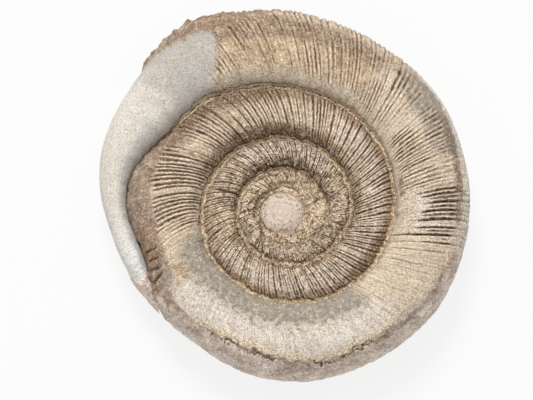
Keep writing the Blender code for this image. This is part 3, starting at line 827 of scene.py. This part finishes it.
# Painted light on the rock beside the seam, where the channel falls into shade
seam_painted_light = spread(times(masks["inner"], LENGTH / MM), 0.5, 3.5, 0.30, 0.0)
rock = mixed(seam_painted_light, rock, ROCK_PAINTED_LIGHT)
colour = mixed(masks["rock"], shell, rock)
along_coil = add_node("ShaderNodeMapping", {"Vector": rib_place, "Scale": (0.35, 14.0, 1.0)}).outputs[0]
layers = stone_grain(along_coil, 1.0, 4, 0.65)
lumpy = reckoned("MULTIPLY_ADD", mottle, 0.30, times(freckles, 0.15))
lumpy = reckoned("MULTIPLY_ADD", layers, 0.25, lumpy)
lumpy = reckoned("MULTIPLY_ADD", blotches, 0.30, lumpy)
lumpy = reckoned("MULTIPLY_ADD", lumpy, 0.85, 0.15)
crust = mixed(lumpy, CRUST_DARK, CRUST_LIGHT)
rust = mixed(freckles, BROWN_DARK, RUST)
crust = mixed(times(ragged_mask(masks["brown"], mottle, 1.0, 0.5), 0.55), crust, rust)
venter = mixed(lumpy, VENTER_DARK, VENTER_LIGHT)
crust = mixed(ragged_mask(masks["cream"], blotches, 0.4, 0.4), crust, venter)
colour = mixed(ragged_mask(masks["crust"], freckles, 0.5, 0.3), colour, crust)
swirl = reckoned("MULTIPLY_ADD", wandering, 17.0, times(from_disc, 4.5))
swirl = reckoned("POWER", reckoned("MULTIPLY_ADD", reckoned("SINE", swirl), 0.5, 0.5), 3.0)
swirl = times(swirl, spread(from_disc, 1.0, 4.5, 0.25, 1.0))
swirl = times(swirl, spread(mottle, 0.25, 0.65))
swirl = reckoned("MULTIPLY_ADD", reckoned("POWER", freckles, 3.0), 0.6, swirl)
disc = mixed(swirl, DISC_PINK, DISC_DARK)
colour = mixed(ragged_mask(masks["disc"], mottle, 1.0, 0.3), colour, disc)

# Short winding veins, dark and pale, where the surface is rough
dark_vein = spread(reckoned("ABSOLUTE", reckoned("SUBTRACT", wandering, 0.46)), 0.015, 0.06, 1.0, 0.0)
pale_vein = spread(reckoned("ABSOLUTE", reckoned("SUBTRACT", wandering, 0.56)), 0.01, 0.05, 1.0, 0.0)
calm = reckoned("MAXIMUM", masks["rock"], masks["disc"])
calm = reckoned("MAXIMUM", calm, times(masks["worn"], 0.75))
rough_share = reckoned("MAXIMUM", middle, times(masks["crust"], 0.35))
veined = times(reckoned("SUBTRACT", 1.0, calm), rough_share)
coarse = stone_grain(place, 0.55, 4, 0.6)
coarse = reckoned("MULTIPLY_ADD", coarse, 0.35, times(mottle, 0.30))
coarse = reckoned("MULTIPLY_ADD", layers, 0.35, coarse)
patchy = times(spread(coarse, 0.28, 0.50, 1.0, 0.0), veined)
colour = mixed(times(patchy, 0.50), colour, MOTTLE_BROWN)
pale = times(spread(coarse, 0.55, 0.78), veined)
colour = mixed(times(pale, 0.34), colour, PALE_WEAR_AND_HIGHLIGHT)
colour = mixed(times(times(dark_vein, veined), 0.75), colour, NEAR_BLACK_BROWN)
colour = mixed(times(times(pale_vein, veined), 0.4), colour, PALE_WEAR_AND_HIGHLIGHT)

# Clefts, cracks and the pale thread of shell along the seams, drawn by the lengths to them
wobble = reckoned("MULTIPLY_ADD", reckoned("SUBTRACT", mottle, 0.5), 0.6,
                  times(reckoned("SUBTRACT", freckles, 0.5), 0.25))


def drawn_line(length, at, half_width, softness, shake=wobble):
    """1 on the line at the given number of millimetres along a length, falling to 0 beside it."""
    away = reckoned("MULTIPLY_ADD", masks[length], LENGTH / MM, reckoned("SUBTRACT", shake, at))
    away = reckoned("ABSOLUTE", away)
    return spread(away, half_width, half_width + softness, 1.0, 0.0)


thread = reckoned("MAXIMUM", drawn_line("inner", 0.35, 0.48, 0.35), drawn_line("outer", 0.6, 0.22, 0.3))
thread = times(thread, masks["thread"])
thread = times(thread, spread(mottle, 0.05, 0.5, 0.55, 1.0))
# A painted shade line right on the seam
seam_line = times(drawn_line("inner", 0.1, 0.06, 0.25), masks["thread"])
seam_line = times(seam_line, spread(blotches, 0.35, 0.65, 0.0, 0.9))
ledge_wobble = reckoned("MULTIPLY_ADD", reckoned("SUBTRACT", wandering, 0.5), 5.0, wobble)
band = times(drawn_line("ledge", -1.2, 0.5, 1.8, ledge_wobble), masks["lip"])
band = ragged_mask(band, mottle, 0.9, 0.45)
colour = mixed(times(band, 0.75), colour, mixed(freckles, OCHRE, PALE_WEAR_AND_HIGHLIGHT))
lip = times(drawn_line("ledge", -0.5, 0.1, 0.5, ledge_wobble), masks["lip"])
lip = times(lip, spread(mottle, 0.35, 0.8))
thread = reckoned("MAXIMUM", thread, lip)
thread_colour = mixed(freckles, THREAD_BROWN, THREAD_GOLD)
colour = mixed(times(thread, 0.9), colour, thread_colour)
# Painted shade in the clefts beside the seams
cleft = times(drawn_line("inner", 1.45, 0.06, 0.45), masks["thread"])
cleft = times(cleft, spread(masks["worn"], 0.0, 1.0, 1.0, 0.2))
cleft = times(cleft, spread(mottle, 0.1, 0.7, 0.35, 1.0))
far_cleft = times(drawn_line("outer", 1.35, 0.08, 0.5), masks["thread"])
far_cleft = times(far_cleft, spread(blotches, 0.2, 0.8, 0.1, 0.8))
# A painted shadow under the ledge's lip
ledge_line = times(drawn_line("ledge", 0.4, 0.15, 1.1, ledge_wobble), masks["lip"])
ledge_line = times(ledge_line, spread(blotches, 0.2, 0.7, 0.5, 1.3))
ledge_line = times(ledge_line, spread(freckles, 0.1, 0.8, 0.5, 1.0))
dark = reckoned("MAXIMUM", reckoned("MAXIMUM", cleft, far_cleft), ledge_line)
dark = reckoned("MAXIMUM", dark, seam_line)
dark = reckoned("MAXIMUM", dark, ragged_mask(masks["dark"], freckles, 0.7, 0.4))
# Painted shade of the clefts, seams, lip and disc crescent, and the dark of the cracks, in one colour
colour = mixed(times(dark, 0.88), colour, CLEFT_DARK)

# Freckles over everything, faint on the mudstone and the disc
calm = reckoned("MAXIMUM", calm, times(masks["crust"], 0.4))
depth = spread(calm, 0.0, 1.0, 1.0, 0.72)
grains = reckoned("MULTIPLY_ADD", freckles, 0.58, times(dust, 0.42))
tint = add_node("ShaderNodeMapRange", {"Value": grains, "To Min": 0.28, "To Max": 1.88}).outputs[0]
tint = times(reckoned("SUBTRACT", tint, 1.0), depth)
tints = {part: reckoned("MULTIPLY_ADD", tint, share, 1.0) for part, share in enumerate((0.82, 1.0, 1.18))}
colour = mixed(1.0, colour, add_node("ShaderNodeCombineColor", tints).outputs[0], "MULTIPLY")
tree.links.new(colour, shader.inputs["Base Color"])
shader.inputs["Roughness"].default_value = STONE_ROUGHNESS
shader.inputs["Specular IOR Level"].default_value = 0.15
bump_height = times(grains, depth)
bump = add_node("ShaderNodeBump", {"Height": bump_height, "Distance": GRAIN_BUMP, "Strength": 1.0})
tree.links.new(bump.outputs[0], shader.inputs["Normal"])
stone_mesh.materials.append(fossil)

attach(stone, "root")
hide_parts("ammonite")


# The camera looks steeply down from the near side, far enough off that the stone shows little perspective.
# The coil's axis crosses its middle plane at AXIS_PIXEL in the 533 by 400 picture.
CAMERA_ELEVATION = math.radians(74)
CAMERA_DISTANCE = 0.62
PIXEL_SIZE = 0.2426 * MM
PICTURE_SIZE = (533, 400)
AXIS_PIXEL = (286.5, 214.8)
SENSOR_WIDTH = 36.0

looking = Vector((0, math.cos(CAMERA_ELEVATION), -math.sin(CAMERA_ELEVATION)))
picture_up = Vector((0, math.sin(CAMERA_ELEVATION), math.cos(CAMERA_ELEVATION)))
aside = (PICTURE_SIZE[0] / 2 - AXIS_PIXEL[0]) * PIXEL_SIZE
above = (AXIS_PIXEL[1] - PICTURE_SIZE[1] / 2) * PIXEL_SIZE
camera_place = AXIS_PLACE - looking * CAMERA_DISTANCE + Vector((aside, 0, 0)) + picture_up * above
bpy.ops.object.camera_add(location=camera_place, rotation=(math.pi / 2 - CAMERA_ELEVATION, 0, 0))
camera = bpy.context.object
camera.data.sensor_width = SENSOR_WIDTH
camera.data.lens = SENSOR_WIDTH * CAMERA_DISTANCE / PIXEL_SIZE / PICTURE_SIZE[0]
camera.data.clip_start = 0.01
bpy.context.scene.camera = camera


# A pale floor under plain soft light: a bright even sky, and a wide lamp beyond the far side of the stone.
FLOOR_SIZE = 6.0
FLOOR_GAP = 0.05 * MM
FLOOR_COLOUR = (0.11, 0.11, 0.11, 1.0)
FLOOR_GLOW = 0.83
SKY_STRENGTH = 0.66
LAMP_PLACE = (-0.15, 0.65, 1.05)
LAMP_SIZE = 0.45
LAMP_POWER = 13.0

bpy.ops.object.select_all(action="DESELECT")
bpy.ops.mesh.primitive_plane_add(size=FLOOR_SIZE, location=(0, 0, stone_low[2] - FLOOR_GAP))
floor = bpy.context.object
floor.name = "floor"
floor_finish = bpy.data.materials.new("floor_white")
floor_finish.use_nodes = True
floor_shader = floor_finish.node_tree.nodes["Principled BSDF"]
floor_shader.inputs["Base Color"].default_value = FLOOR_COLOUR
floor_shader.inputs["Roughness"].default_value = 1.0
floor_shader.inputs["Specular IOR Level"].default_value = 0.0
floor_shader.inputs["Emission Color"].default_value = (1.0, 1.0, 1.0, 1.0)
floor_shader.inputs["Emission Strength"].default_value = FLOOR_GLOW
floor.data.materials.append(floor_finish)

sky = bpy.data.worlds.new("sky")
sky.use_nodes = True
sky.node_tree.nodes["Background"].inputs["Color"].default_value = (1.0, 1.0, 1.0, 1.0)
sky.node_tree.nodes["Background"].inputs["Strength"].default_value = SKY_STRENGTH
bpy.context.scene.world = sky
bpy.ops.object.light_add(type="AREA", location=LAMP_PLACE)
lamp = bpy.context.object
lamp.rotation_euler = (-Vector(LAMP_PLACE)).to_track_quat("-Z", "Y").to_euler()
lamp.data.size = LAMP_SIZE
lamp.data.energy = LAMP_POWER
bpy.context.scene.view_settings.view_transform = "Standard"
